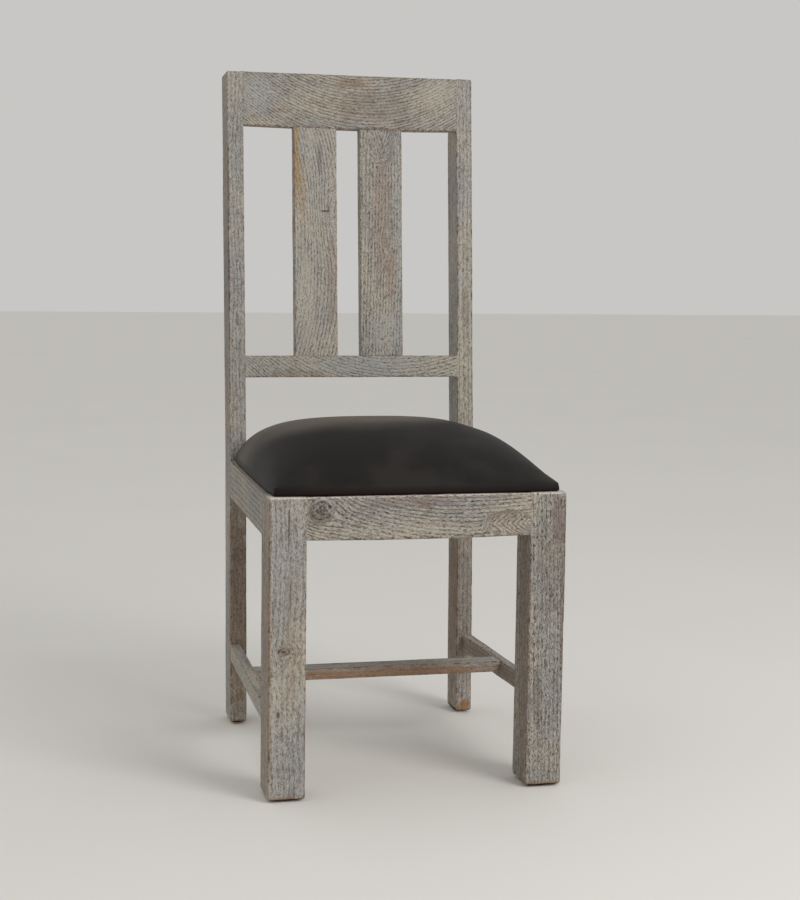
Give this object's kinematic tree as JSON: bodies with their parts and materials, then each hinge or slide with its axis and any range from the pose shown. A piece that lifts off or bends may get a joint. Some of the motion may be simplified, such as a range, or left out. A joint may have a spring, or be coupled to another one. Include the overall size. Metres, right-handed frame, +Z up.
{
  "type": "dining chair",
  "caption": "Upright wooden dining chair with a worn whitewashed frame, a slatted back and a domed dark leather seat pad.",
  "frame": {"origin": "on the floor, under the middle of the chair's box", "axes": "+Z up, the front of the chair faces -Y, +X on the right of someone who looks at its front"},
  "size_m": [0.45, 0.5687, 1.0999],
  "materials": {
    "washed_wood": "wire-brushed hardwood under a worn white wash, with brown wood in the pores, knots and arrises",
    "bare_wood": "sawn hardwood without wash",
    "plywood": "unfinished plywood",
    "dark_leather": "very dark brown leather with a soft sheen",
    "foam": "pale upholstery foam",
    "steel": "bright steel fasteners",
    "dark_plastic": "dark hard plastic"
  },
  "bodies": {
    "root": {"back_slat_left": "washed_wood", "back_slat_right": "washed_wood", "corner_block_1": "bare_wood", "corner_block_2": "bare_wood", "corner_block_3": "bare_wood", "corner_block_4": "bare_wood", "cover_staple_1": "steel", "cover_staple_10": "steel", "cover_staple_11": "steel", "cover_staple_12": "steel", "cover_staple_13": "steel", "cover_staple_14": "steel", "cover_staple_2": "steel", "cover_staple_3": "steel", "cover_staple_4": "steel", "cover_staple_5": "steel", "cover_staple_6": "steel", "cover_staple_7": "steel", "cover_staple_8": "steel", "cover_staple_9": "steel", "crest_rail": "washed_wood", "cross_stretcher": "washed_wood", "foot_glide_1": "dark_plastic", "foot_glide_2": "dark_plastic", "foot_glide_3": "dark_plastic", "foot_glide_4": "dark_plastic", "front_apron": "washed_wood", "front_leg_left": "washed_wood", "front_leg_right": "washed_wood", "glide_pin_1": "steel", "glide_pin_2": "steel", "glide_pin_3": "steel", "glide_pin_4": "steel", "lower_back_rail": "washed_wood", "rear_apron": "washed_wood", "rear_post_left": "washed_wood", "rear_post_right": "washed_wood", "seat_board": "plywood", "seat_cover": "dark_leather", "seat_foam": "foam", "seat_screw_1": "steel", "seat_screw_2": "steel", "seat_screw_3": "steel", "seat_screw_4": "steel", "side_apron_left": "washed_wood", "side_apron_right": "washed_wood", "side_stretcher_left": "washed_wood", "side_stretcher_right": "washed_wood"}
  },
  "joints": []
}
